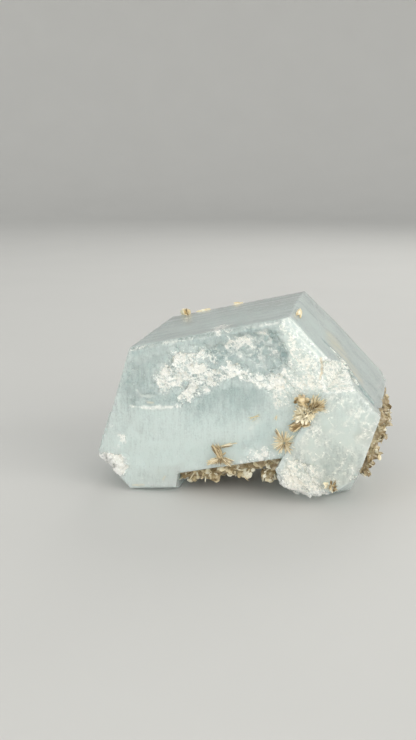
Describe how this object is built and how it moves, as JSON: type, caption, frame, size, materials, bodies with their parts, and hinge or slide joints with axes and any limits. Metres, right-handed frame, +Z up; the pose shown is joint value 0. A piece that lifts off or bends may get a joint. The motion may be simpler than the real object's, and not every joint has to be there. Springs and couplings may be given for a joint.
{
  "type": "aquamarine crystal",
  "caption": "Stout hexagonal aquamarine crystal lying on its side, a smaller crystal grown into its corner, with tan mica crusts and sprays; a mineral specimen that rests on a shelf.",
  "frame": {"origin": "middle of the specimen's base, on the surface it rests on", "axes": "+X to the right along the end face that shows at the front, +Y back along the crystal's long axis, +Z up"},
  "size_m": [0.0692, 0.0412, 0.0448],
  "materials": {
    "aquamarine": "glassy crystal faces, milky and frosted in parts",
    "mica": "pearly flakes"
  },
  "bodies": {
    "root": {"aquamarine": "aquamarine", "mica_crust_under": "mica", "mica_crust_side": "mica", "mica_cluster": "mica", "mica_star": "mica", "mica_wedge": "mica", "mica_tuft": "mica", "mica_base": "mica", "mica_sliver_mid": "mica", "mica_sliver_short": "mica", "mica_sliver_corner": "mica", "mica_flake_ridge": "mica", "mica_flake_ridge_far": "mica"}
  },
  "joints": []
}
